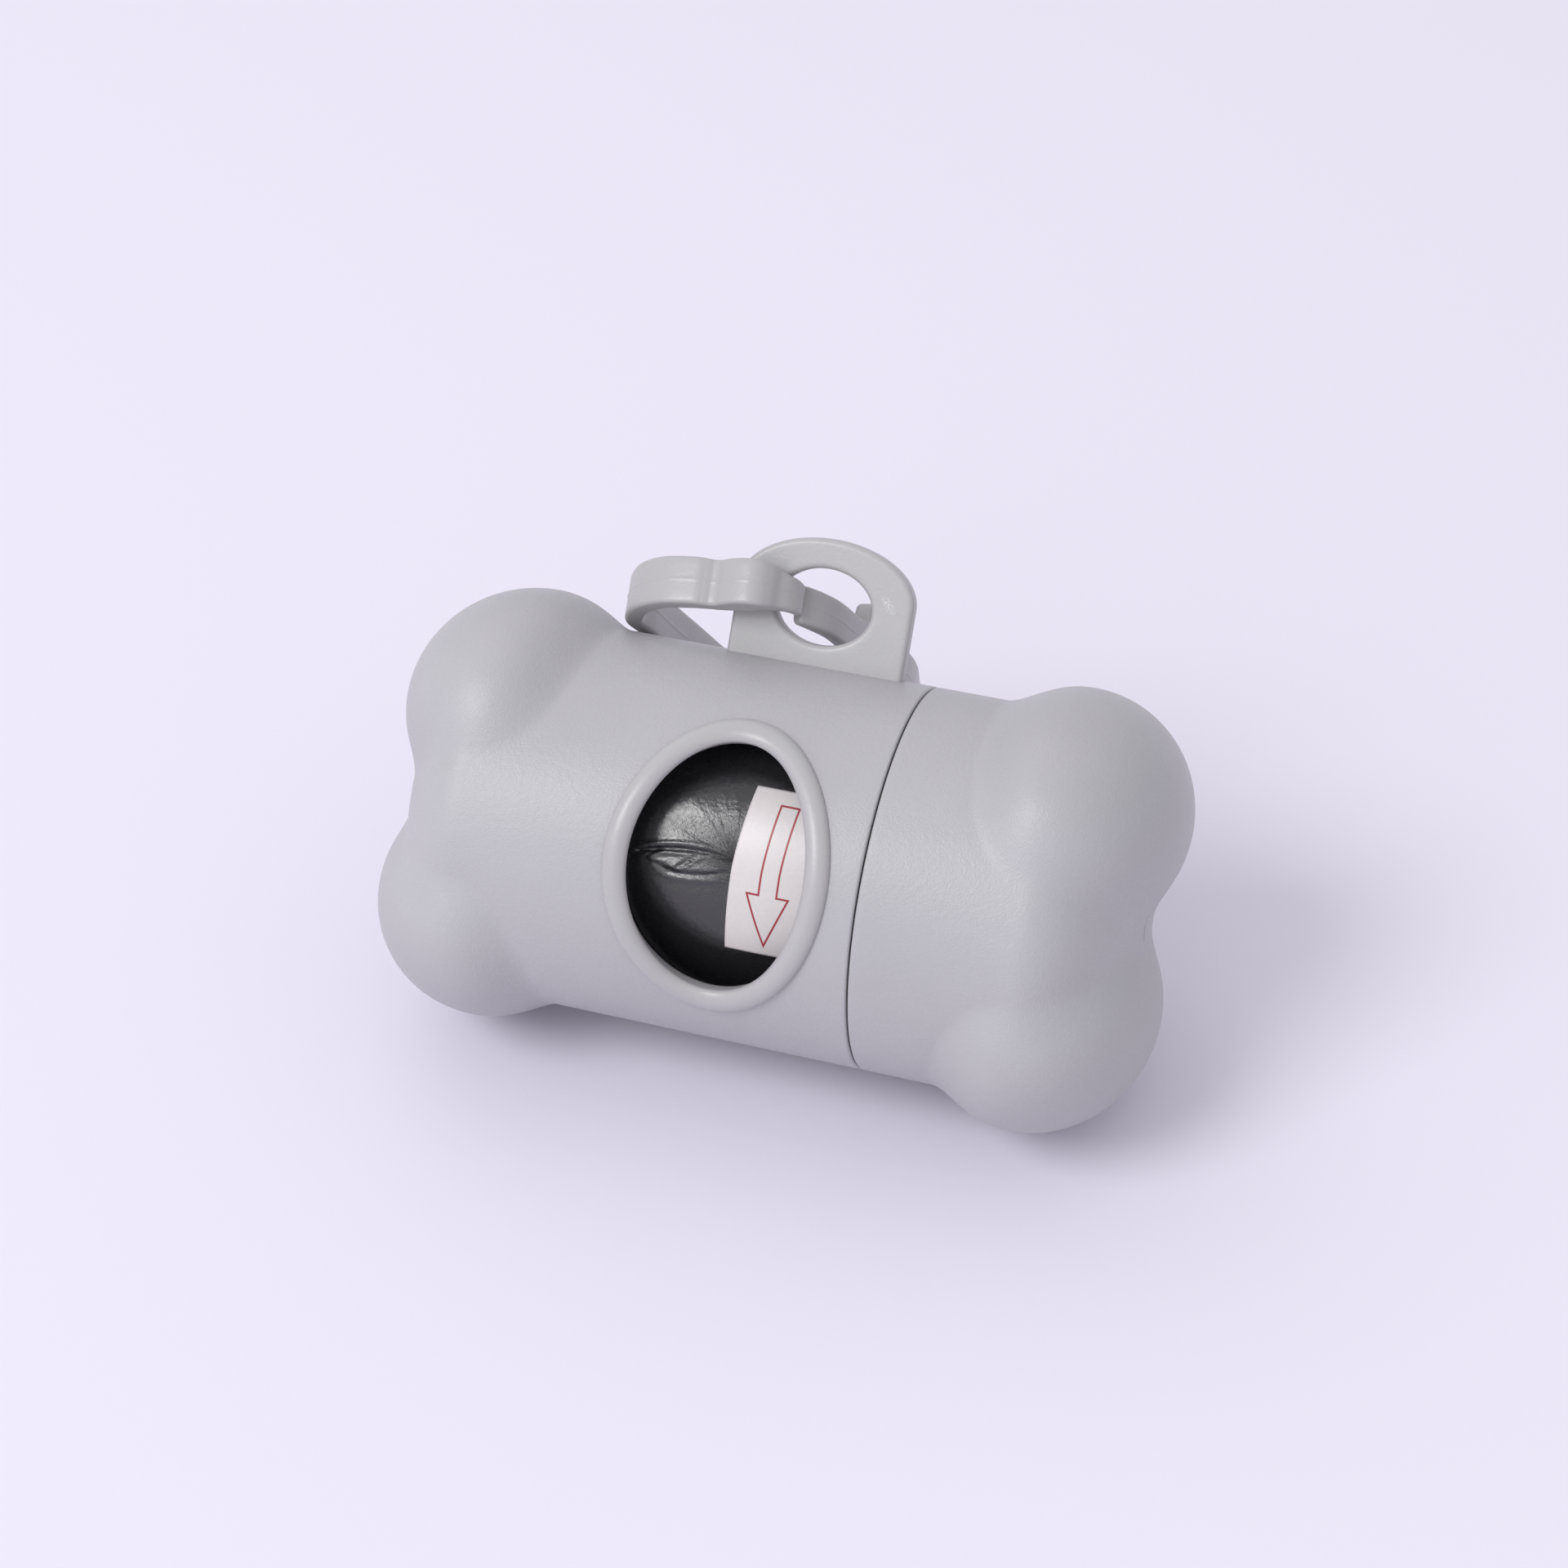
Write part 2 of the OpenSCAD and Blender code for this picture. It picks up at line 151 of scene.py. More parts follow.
def finished(piece, finish, body, slot, *nodes):
    """Gives a piece its material and its body, and hides the solids that it stands for. The slot is not used.
    """
    piece.data.materials.append(finish)
    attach(piece, body)
    if nodes:
        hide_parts(*nodes)
    return piece


def smooth_line(p, n):
    """A Catmull-Rom curve through the rows of p, n steps from each to the next: between b and c it is
    b + ((c - a) t + (2a - 5b + 4c - d) t^2 + (3b - a - 3c + d) t^3) / 2, with a before b and d after c."""
    p = np.asarray(p, float)
    a, b, c, d = p[np.r_[0, 0:len(p) - 2]], p[:-1], p[1:], p[np.r_[2:len(p), len(p) - 1]]
    t = (np.arange(n) / n)[None, :, None]
    a, b, c, d = (q[:, None, :] for q in (a, b, c, d))
    line = b + ((c - a) * t + (2 * a - 5 * b + 4 * c - d) * t ** 2 + (3 * b - a - 3 * c + d) * t ** 3) / 2
    return np.concatenate([line.reshape(-1, p.shape[1]), p[-1:]])


def smooth_step(low, high, x):
    """0 on the side of low, 1 on the side of high, and 3 t^2 - 2 t^3 between them, with t the share of the
    way from low to high. It falls with x where high is the smaller."""
    t = np.clip((x - low) / (high - low), 0, 1)
    return t * t * (3 - 2 * t)


# ---------------------------------------------------------------- the bone

def smooth_max(a, b, k):
    """The larger of a and b, rounded where they lie within k: max(a, b) + k/4 (1 - |a - b|/k)^2."""
    return np.maximum(a, b) + k / 4 * (np.maximum(k - np.abs(a - b), 0) / k) ** 2


def lobe_hit(x, u, up):
    """How far from the axis point x the ray u leaves one lobe, an ellipsoid of half axes reach,
    LOBE_DEEP and LOBE_R: the larger root of a t^2 - 2 b t + k = 0, or 0 where the ray misses."""
    cx, cz = LOBE_X - x, up * LOBE_OFF
    reach = np.where(cx > 0, FLANK_REACH, LOBE_REACH)
    a = (u[..., 0] / reach) ** 2 + (u[..., 1] / LOBE_DEEP) ** 2 + (u[..., 2] / LOBE_R) ** 2
    b = cx * u[..., 0] / reach ** 2 + cz * u[..., 2] / LOBE_R ** 2
    k = (cx / reach) ** 2 + (cz / LOBE_R) ** 2 - 1
    d = b * b - a * k
    return np.where(d > 0, np.maximum(0, (b + np.sqrt(np.maximum(d, 0))) / a), 0)


def skin(x, u):
    """Distance from the axis point x to the bone's skin along u: two lobes blended, then the waist."""
    lobes = smooth_max(lobe_hit(x, u, 1), lobe_hit(x, u, -1), NOTCH_SOFT)
    waist = 1 / np.sqrt((u[..., 0] / NOTCH_REACH) ** 2 + (u[..., 1] ** 2 + u[..., 2] ** 2) / CASE_R ** 2)
    return smooth_max(lobes, waist, FLANK_SOFT)


def bone_half(mouth, columns=360, edge=0.28):
    """One end of the bone with its tip at +X, as rows from the outer tip over the round edge of the mouth
    to the inner tip. Each row has a foot on the axis, a polar angle and a depth under the skin. The waist's
    outer row i has the inner row fold - i under it."""
    fan, inner_fan = np.linspace(0, 90, 62)[1:], np.linspace(90, 0, 16)[:-1]
    flank = LOBE_X - np.linspace(0, FLANK_REACH, 44)[1:]
    neck, waist_step = LOBE_X - FLANK_REACH, 0.5
    waist = np.linspace(neck, mouth + edge, max(4, int((neck - mouth) / waist_step)))[1:]
    a = np.radians(np.linspace(0, 90, 7)[1:])
    x = np.concatenate([np.full(len(fan), LOBE_X), flank, waist, mouth + edge * (1 - np.sin(a)),
                        [mouth, mouth], waist[::-1], flank[::-3], np.full(len(inner_fan), LOBE_X)])
    polar = np.concatenate([fan, np.full(len(x) - len(fan) - len(inner_fan), 90), inner_fan])
    outer = len(fan) + len(flank) + len(waist)
    fold = 2 * outer + len(a) + 1
    depth = np.concatenate([np.zeros(outer), edge * (1 - np.cos(a)), [edge * 1.5, WALL],
                            np.full(len(x) - outer - len(a) - 2, WALL)])
    f, p = np.radians(np.arange(columns) * 360 / columns)[None, :], np.radians(polar)[:, None]
    u = np.stack(np.broadcast_arrays(np.cos(p), np.sin(p) * np.sin(f), np.sin(p) * np.cos(f)), -1)
    foot = np.stack([x, 0 * x, 0 * x], -1)[:, None, :]
    r = skin(x[:, None], u)[..., None] - depth[:, None, None]
    tip = skin(LOBE_X, np.array([1.0, 0, 0]))
    return foot + u * r, np.array([LOBE_X + tip, 0, 0]), np.array([LOBE_X + tip - WALL, 0, 0]), fold


def mirrored(rows, start, end, fold):
    """The same half with its tip at -X, its columns run backwards so that its faces still look outwards."""
    flip = np.array([-1, 1, 1])
    return rows[:, ::-1] * flip, start * flip, end * flip, fold


def cut_through(m, fold, cut):
    """A hole through both skins of a shell, in a grid of m columns: cut marks the outer faces that go, and
    the inner ones under them go too. Returns the faces that stay and the walls of the hole, one on each
    side of a cut face whose neighbour there stays."""
    i, j = np.nonzero(cut)
    gone = cut.copy()
    gone[fold - 1 - i, j] = True
    walls = []
    for step, axis, p, q in ((1, 0, (0, 0), (0, 1)), (-1, 0, (1, 1), (1, 0)),
                             (1, 1, (1, 0), (0, 0)), (-1, 1, (0, 1), (1, 1))):
        r, c = np.nonzero(cut & ~np.roll(cut, step, axis))
        pc, qc = (c + p[1]) % m, (c + q[1]) % m
        walls.append(np.stack([(r + p[0]) * m + pc, (r + q[0]) * m + qc, (fold - r - q[0]) * m + qc,
                               (fold - r - p[0]) * m + pc], -1))
    return ~gone, np.concatenate(walls)


def case_pieces():
    """The matte shells: the long half with its window, and the cap turned CAP_TWIST past it."""
    rows, start, end, fold = mirrored(*bone_half(SEAM_GAP / 2 - SEAM_X))
    middle = (rows + np.roll(rows, -1, 1))[:-1] / 2
    under_bead = 0.6 * RIM_W
    half_w, half_h = WINDOW_W / 2 + under_bead, WINDOW_H / 2 + under_bead
    inside = ((middle[..., 0] - WINDOW_X) / half_w) ** 2 + (middle[..., 2] / half_h) ** 2 < 1
    outer = np.arange(len(middle))[:, None] < fold / 2
    keep, walls = cut_through(rows.shape[1], fold, inside & (middle[..., 1] < 0) & outer)
    body = surface("case_body", leaning(rows), start=leaning(start), end=leaning(end), keep=keep, extra=walls)
    rows, start, end = (leaning(turn(p, 0, CAP_TWIST)) for p in bone_half(SEAM_X + SEAM_GAP / 2)[:3])
    return body, surface("case_cap", rows, start=start, end=end)


def rim_piece():
    """The oval bezel. Round the window its foot is an ellipse on the waist's cylinder, and across it the
    section is half an ellipse of RIM_W by RIM_H, then the skirt that goes down into the case. At the angle
    o round the ellipse it is narrower by the share RIM_THINNER sin^2 o. The skirt's inner face falls away
    under the bead, so that from the front the bead hides it."""
    o = np.radians(np.arange(288) * 360 / 288)
    a = np.radians(np.linspace(180, 0, 33))
    # The bead, then the skirt down its inner face and up its outer one: width and height
    w = np.concatenate([RIM_W / 2 * (1 - np.cos(a)),
                        [0.03, 0.3, 0.6, 0.8, SKIRT_T - 0.06, SKIRT_T, SKIRT_T]])
    h = np.concatenate([RIM_H * np.sin(a),
                        [-0.12, -0.6, -1.1, -1.45, -SKIRT_L, -SKIRT_L + 0.1, -0.06]])
    ex, ez = WINDOW_W / 2 + RIM_SHIFT, WINDOW_H / 2 + RIM_TALLER
    nx, nz = ez * np.cos(o), ex * np.sin(o)
    size = np.hypot(nx, nz)
    w = w[:, None] * (1 - RIM_THINNER * np.sin(o) ** 2)
    x = WINDOW_X + RIM_SHIFT + ex * np.cos(o) + w * nx / size
    z = ez * np.sin(o) + w * nz / size
    y = -np.sqrt(CASE_R ** 2 - z ** 2)
    grow = 1 + h[:, None] / CASE_R
    return surface("window_bezel", leaning(np.stack([x, y * grow, z * grow], -1)), along=True)


def sleeve_piece(columns=150):
    """The tube that holds the roll, as rows from its closed end to its mouth. Each row runs round the outside
    from one side of the window to the other and back along the bore. Away from the window the two sides
    meet. Half the window's height at a row is CUT_BELOW or CUT_ABOVE times sin a, with a from 0 to 180
    degrees along it."""
    r, floor, seat_w, ridge_w, window_room = SLEEVE_R, 0.9, 2.4, 0.9, 1.6

    def band(at, wide, high):
        """A ring round the tube with small fillets: place along the tube, and radius."""
        side = [(0, r), (0.03, r + 0.04), (0.05, high - 0.06), (0.12, high)]
        return [(at + x, y) for x, y in side] + [(at + wide - x, y) for x, y in side[::-1]]

    def skins(x, radius, turned):
        x, radius = np.broadcast_to(x[:, None], turned.shape), radius[:, None]
        return np.stack([x, -radius * np.sin(turned), radius * np.cos(turned)], -1)

    share = np.concatenate([np.linspace(0, 0.97, 8), [0.985]])
    a = np.radians(np.linspace(0, 180, 91))
    hole = WINDOW_X - (WINDOW_W / 2 + window_room) * np.cos(a)
    before = [(-SLEEVE_L, r * k) for k in share] + [(-SLEEVE_L + 0.1, r - 0.06), (-SLEEVE_L + 0.3, r)]
    before += band(-24.2, seat_w, SEAT_R)
    after = band(10.45, seat_w, SEAT_R)
    for ridge in (15.58, 17.73, 19.88):
        after += band(ridge, ridge_w, RIDGE_R)
    after += [(NECK_X - 0.15, r), (NECK_X - 0.02, r - 0.12), (NECK_X, r - 0.3)]
    line = np.array(before + [(x, r) for x in hole] + after)
    wide = np.concatenate([np.zeros(len(before)), np.sin(a), np.zeros(len(after))])
    low = 90 + np.degrees(np.arcsin(CUT_BELOW / r * wide))
    high = 450 - np.degrees(np.arcsin(CUT_ABOVE / r * wide))
    phi = np.radians(low[:, None] + (high - low)[:, None] * np.linspace(0, 1, columns))
    bore = np.full(len(line), BORE_R)
    bore[:len(share)] = BORE_R * share
    bore_x = np.maximum(line[:, 0], -SLEEVE_L + floor)
    rows = np.concatenate([skins(line[:, 0], line[:, 1], phi), skins(bore_x, bore, phi[:, ::-1])], 1)
    mouth, middle = np.full(1, NECK_X), np.full(1, (r + BORE_R) / 2)
    lip = skins(mouth, middle, phi[-1:]), skins(mouth, middle, phi[-1:, ::-1])
    rows = np.concatenate([rows, np.concatenate(lip, 1)])
    keep = np.ones((len(rows) - 1, 2 * columns), bool)
    sides = np.append(wide, 0) > 1e-9
    keep[:, [columns - 1, 2 * columns - 1]] = (sides[:-1] | sides[1:])[:, None]
    return welded(surface("roll_sleeve", leaning(rows), keep=keep))


def tab_piece(sides=256, fillet=0.55):
    """The hanger tab. Each ray from the middle of the eye meets the eye's ellipse and the tab's outline,
    and the section between them is a bar of TAB_T with quarter rounds of fillet at its four corners."""
    o = np.radians(np.arange(sides) * 360 / sides)
    d = np.stack([np.cos(o), np.sin(o)], -1)
    eye = 1 / np.hypot(d[:, 0] / (EYE_W / 2), d[:, 1] / (EYE_H / 2))
    side_z, foot_z, half = CASE_R + TAB_SIDE - EYE_Z, TAB_FOOT - EYE_Z, TAB_W / 2
    with np.errstate(divide="ignore", invalid="ignore"):
        flank = half / np.abs(d[:, 0])
        floor = np.where(d[:, 1] < 0, foot_z / d[:, 1], np.inf)
    qa = (d[:, 0] / half) ** 2 + (d[:, 1] / TAB_ARCH) ** 2
    qb = side_z * d[:, 1] / TAB_ARCH ** 2
    arch = (qb + np.sqrt(np.maximum(qb ** 2 - qa * ((side_z / TAB_ARCH) ** 2 - 1), 0))) / qa
    rim = np.where((flank * d[:, 1] > side_z) & (d[:, 1] > 0), arch, np.minimum(flank, floor))
    q = np.radians(np.linspace(0, 90, 7))
    ht = TAB_T / 2
    # Share of the way from the eye to the outline, step on from there, and place through the thickness
    round_in = [(0.0, fillet * (1 - math.cos(b)), -ht + fillet * (1 - math.sin(b))) for b in q]
    flat = [(m, fillet * (1 - 2 * m), -ht) for m in np.linspace(0, 1, 10)[1:-1]]
    round_out = [(1.0, -t, y) for s, t, y in round_in[::-1]]
    front = round_in + flat + round_out
    loop = np.array(front + [(s, t, -y) for s, t, y in front[::-1]])
    r = eye + loop[:, 0, None] * (rim - eye) + loop[:, 1, None]
    y = np.broadcast_to(loop[:, 2, None], r.shape)
    rows = np.stack([TAB_X + r * d[:, 0], y, EYE_Z + r * d[:, 1]], -1)
    return surface("tab_plate", leaning(rows[::-1]), along=True)


# ---------------------------------------------------------------- the clip

# Middle line of the band round the loop: across, along, and share of the band's thickness. The hook's end
# stops short of the solid's, to leave the arm's lip room to turn in beside it.
LOOP_SHARES = np.array([
    [-0.752, 0.026, 1], [-0.782, 0.074, 1], [-0.757, 0.130, 1], [-0.729, 0.229, 1], [-0.694, 0.319, 1],
    [-0.659, 0.417, 1], [-0.604, 0.565, 1], [-0.567, 0.698, 1], [-0.489, 0.804, 1], [-0.356, 0.874, 1],
    [-0.207, 0.892, 1], [-0.059, 0.874, 1], [0.066, 0.804, 1], [0.118, 0.698, 1],
    [0.130, 0.565, 1], [0.157, 0.449, 1], [0.142, 0.365, 1], [0.092, 0.286, 1], [0.052, 0.211, 1],
    [0.028, 0.153, 0.9], [0.006, 0.105, 0.85], [-0.019, 0.073, 0.85], [-0.060, 0.0425, 0.85],
    [-0.100, 0.0195, 0.75]])
# Middle line of the arm from the loop's corner on, in millimetres: across, along, half the thickness, and
# how far the band reaches up and down
ARM_LINE = np.array([
    [-20.29, 1.586, 0.95, 2.5, 2.5], [-18.75, -0.95, 1.0, 2.62, 2.5], [-16.3, -2.85, 1.05, 2.65, 2.5],
    [-13.3, -3.5, 1.05, 2.6, 2.5], [-12.1, -3.5, 0.96, 2.55, 2.5], [-11.2, -3.42, 0.87, 2.5, 2.5],
    [-10.2, -3.5, 1.0, 2.5, 2.5], [-9.2, -3.85, 1.27, 2.48, 2.5], [-7.9, -4.3, 1.42, 2.45, 2.5],
    [-6.7, -4.4, 1.42, 2.4, 2.5], [-5.75, -3.95, 1.15, 2.3, 2.4], [-4.75, -3.05, 0.8, 2.1, 2.1],
    [-3.8, -2.25, 0.6, 1.95, 1.9], [-3.1, -1.4, 0.5, 1.85, 1.8], [-2.7, -0.55, 0.42, 1.7, 1.75]])


def band_rows(line, top, bottom, fillet=0.42, ridge=0.05):
    """A band along a line. At each point the section is a rounded bar, from the line by half the thickness
    to each side and from bottom to top, with a fine parting ridge round the middle of its height."""
    d = np.gradient(line[:, :2], axis=0)
    side = np.stack([-d[:, 1], d[:, 0]], -1) / np.hypot(*d.T)[:, None]
    q = np.radians(np.linspace(0, 90, 6))
    bend = np.concatenate([[c + t for t in q] for c in np.radians([0, 90, 180, 270])])
    corner = np.array([[1, 1], [-1, 1], [-1, -1], [1, -1]]).repeat(6, 0)
    # Flat stretches between the round corners get points of their own, for the ridge
    sx, sz = corner[:, 0].astype(float), corner[:, 1].astype(float)
    ox, oz = np.cos(bend) - sx, np.sin(bend) - sz
    flat = np.array([0.55, 0.12, 0.05, 0, -0.05, -0.12, -0.55])

    def both_sides(v, left, right):
        return np.concatenate([v[:12], left, v[12:], right])

    one, zero = np.ones(len(flat)), np.zeros(len(flat))
    sx, sz = both_sides(sx, -one, one), both_sides(sz, flat, -flat)
    ox, oz = both_sides(ox, zero, zero), both_sides(oz, zero, zero)
    lift = np.where(np.abs(sz) < 0.01, ridge, 0)
    half = line[:, 2, None]
    r = np.minimum(fillet, half * 0.85)
    across = sx * (half + lift) + ox * r
    mid, tall = ((top + bottom) / 2)[:, None], ((top - bottom) / 2)[:, None]
    up = mid + sz * tall + oz * r
    xy = line[:, None, :2] + side[:, None, :] * across[..., None]
    return np.concatenate([xy, up[..., None]], -1)


def round_ends(rows, steps=5, reach=0.5, shrink=0.35):
    """A band with soft ends: at the angle a, up to 90 degrees, the section is smaller by the share
    shrink (1 - cos a) and has moved on by reach sin a."""
    a = np.radians(np.linspace(0, 90, steps + 1))[1:-1, None, None]

    def rings(ring, before):
        mid = ring.mean(0)
        step = mid - before.mean(0)
        step = step / np.linalg.norm(step) * reach
        return mid + (ring - mid) * (1 - shrink * (1 - np.cos(a))) + step * np.sin(a)

    return np.concatenate([rings(rows[0], rows[1])[::-1], rows, rings(rows[-1], rows[-2])])


def banded(name, line, top, bottom, reach):
    """A closed piece: a band along a line with round ends, hung where the clip hangs."""
    rows = round_ends(band_rows(line, top, bottom), reach=reach)
    return surface(name, hanging(rows), start=hanging(rows[0].mean(0)), end=hanging(rows[-1].mean(0)))


def clip_pieces():
    """The clip as two bands along one line. They part on the far side of the left strand, where the arm's
    own band begins, and the hook's end is narrower, with the lug where the band widens."""
    loop = LOOP_SHARES[::-1] * [CLIP_W, CLIP_L, BAND_T / 2]
    loop = np.concatenate([loop, np.full((len(loop), 2), BAND_W / 2)], 1)
    whole = smooth_line(np.concatenate([loop, ARM_LINE[1:]]), 16)
    parting, right_of = 12.0, -10
    at = int(np.argmin(np.abs(whole[:, 1] - parting) + 100 * (whole[:, 0] > right_of)))
    loop, arm = whole[:at + 1], whole[at:]
    t, near = loop[:, 1], (loop[:, 0] > right_of) * 1.0
    widens, lug_rises, lug_falls = (11.4, 12.6), (12.6, 12.95), (16.0, 16.5)
    wide = 1 - near * (1 - smooth_step(*widens, t))
    top, bottom = (part + (BAND_W / 2 - part) * wide for part in (HOOK_UP, HOOK_DOWN))
    lug = near * smooth_step(*lug_rises, t) * (1 - smooth_step(*lug_falls, t)) * LUG_H
    return (banded("clip_loop", loop, top + lug, -bottom, 0.5),
            banded("clip_arm", arm, arm[:, 3], -arm[:, 4], 0.35))


# ---------------------------------------------------------------- the roll

def film_skin(x, phi):
    """Radius of the wound film at x along the roll and the angle phi round it. From FILM_R it adds ridges,
    height exp(-((arc - middle) / width)^2), and takes away valleys of the same form. An upper and a lower
    crease, each a parabola in x, run along the roll to the knot of the gathered end, with rumples, sines of
    x and arc, between them. A puff over a dent above them catches the light, and shallow folds, sines of the
    bearing from the knot, fan out from it and die away. The film lies flat under the label."""
    arc = np.radians(phi - 90) * ROLL_R
    dx, dy = x - KNOT[0], arc - KNOT[1]
    far, bearing = np.hypot(dx, dy), np.degrees(np.arctan2(-dy, -dx))

    def ridge(height, middle, width):
        return height * np.exp(-((arc - middle) / width) ** 2)

    def sine(degrees):
        return np.sin(np.radians(degrees))

    upper = -1.1 + 0.0252 * (x + 4) ** 2
    lower = 1.6 - np.where(x < -6.6, 0.09, 0.04) * (x + 6.6) ** 2
    creases = ridge(0.1, upper - 0.5, 0.3) - ridge(0.22, upper + 0.1, 0.25)
    low_crease = ridge(0.1, lower - 0.5, 0.34) + ridge(0.07, lower + 0.55, 0.4) - ridge(0.13, lower, 0.26)
    creases = creases + smooth_step(-9.5, -6.0, x) * low_crease

    half = np.maximum(lower - upper, 0.3) / 2
    between = np.exp(-((arc - (upper + lower) / 2) / half) ** 4)
    rumple = np.sin(2.3 * x + 1.6 * np.sin(1.3 * x + 2.2 * arc)) * np.sin(3.7 * arc + 1.1 * x)
    run = smooth_step(-13, -9.5, x) * smooth_step(-0.4, -2.2, x)
    above = smooth_step(0.3, -0.6, arc - upper)
    puff = np.exp(-((x + 5.0) / 2.9) ** 2) * (ridge(0.09, -0.9, 0.9) * above - ridge(0.1, -3.3, 1.2))
    fan = sine(bearing * 10 + 30 * sine(bearing * 3)) * np.exp(-far / 4.5)
    fine = sine(bearing * 27 + 40 + 40 * np.sin(far * 1.3)) * np.exp(-far / 3.0)
    folds = (0.35 + 0.65 * above) * (0.07 * fan + 0.035 * fine) * smooth_step(0, 1.2, far)

    loose = FILM_R + run * (creases + 0.06 * between * rumple) + puff + folds
    flat = smooth_step(-1.9, -1.0, x) * smooth_step(9.5, 7.3, x)
    flat = flat * smooth_step(-12.5, -8.9, arc) * smooth_step(12.5, 8.9, arc)
    return np.minimum(loose + (FLAT_R - loose) * flat, FILM_MOST)


def stretches(*parts):
    """Points along a line in stretches: each part gives where it starts, where it ends and how many points
    it has, and begins with the last point of the one before."""
    return np.concatenate([np.linspace(*parts[0])] + [np.linspace(*part)[1:] for part in parts[1:]])


def roll_piece(windings=18, step=0.06):
    """The wound bags: the film's skin round the roll, round shoulders, and ends with the windings down to
    the core's hole, every other one a step lower. Its own map has millimetres along the roll and round it."""
    half = ROLL_L / 2
    x = stretches((-half, -13, 12), (-13, 0, 150), (0, 9.5, 45), (9.5, half, 14))
    x = np.clip(x, SHOULDER - half, half - SHOULDER)
    phi = stretches((40, 70, 50), (70, 104, 190), (104, 140, 60), (140, 400, 60))[:-1]
    r = film_skin(x[:, None], phi[None, :])
    a = np.radians(np.linspace(90, 0, 6))[1:-1]

    def ends(row, sign):
        """From the skin's last row over the shoulder and in across the windings: radii, and places."""
        inward = np.linspace(1, 0, windings)[:, None] * (row - SHOULDER - HOLE_R) + HOLE_R
        radii = np.concatenate([row - SHOULDER * (1 - np.sin(a))[:, None], inward])
        out = np.concatenate([half - SHOULDER * (1 - np.cos(a)), half - step * (np.arange(windings) % 2)])
        return radii, sign * out

    low_r, low_x = ends(r[0], -1)
    high_r, high_x = ends(r[-1], 1)
    bore = np.full((1, len(phi)), HOLE_R)
    radius = np.concatenate([bore, low_r[::-1], r, high_r, bore])
    along = np.concatenate([[-half], low_x[::-1], x, high_x, [half]])[:, None]
    f = np.radians(phi)[None, :]
    rows = np.stack(np.broadcast_arrays(along, -radius * np.sin(f), radius * np.cos(f)), -1)
    own = np.stack(np.broadcast_arrays(along, (f - np.pi / 2) * ROLL_R), -1)
    return surface("bag_roll_film", leaning(rows), along=True, uv=own)


def label_piece(over=0.14, bow=0.02):
    """The paper band: a strip bent round the roll at the height over, which bows a little across its width.
    Its upper part is drawn aside towards the cap, by DRAWN_ASIDE at its end and the power 1.3 of the way
    there. Its own map has millimetres across the strip and round the roll, and the underside's points lie
    far off the arrow."""
    x = np.linspace(LABEL_X - LABEL_W / 2, LABEL_X + LABEL_W / 2, 40)[None, :]
    phi = np.linspace(90 - LABEL_ANGLE / 2, 90 + LABEL_ANGLE / 2, 90)[:, None]
    aside = DRAWN_ASIDE * np.maximum((90 - phi) / (LABEL_ANGLE / 2), 0) ** 1.3
    f, r = np.radians(phi), ROLL_R + over + bow * np.sin(0.9 * x)

    def sheet(radius):
        return np.stack([x + aside, -radius * np.sin(f), radius * np.cos(f)], -1)

    rows = np.concatenate([sheet(r + LABEL_T), sheet(r)[:, ::-1]], 1)
    uv = np.stack(np.broadcast_arrays(x, (f - np.pi / 2) * ROLL_R), -1)
    uv = np.concatenate([uv, np.full_like(uv, -90.0)], 1)
    ends = [leaning(rows[0].mean(0)), leaning(rows[-1].mean(0))]
    return surface("arrow_label", leaning(rows[:, ::-1]), start=ends[0], end=ends[1], uv=uv[:, ::-1])


# ---------------------------------------------------------------- finishes

def srgb(r, g, b):
    """A colour seen on screen, 0 to 255, as the linear one that a shader takes."""
    v = np.array([r, g, b]) / 255
    return (*np.where(v <= 0.04045, v / 12.92, ((v + 0.055) / 1.055) ** 2.4), 1.0)


def group(name, inputs, outputs):
    """An empty node group. Each input has a name, a kind and a value, and each output a name and a kind."""
    tree = bpy.data.node_groups.new(name, "ShaderNodeTree")
    for label, kind, value in inputs:
        socket = tree.interface.new_socket(label, in_out="INPUT", socket_type=kind)
        if value is not None:
            socket.default_value = value
    for label, kind in outputs:
        tree.interface.new_socket(label, in_out="OUTPUT", socket_type=kind)
    return tree, tree.nodes.new("NodeGroupInput"), tree.nodes.new("NodeGroupOutput")


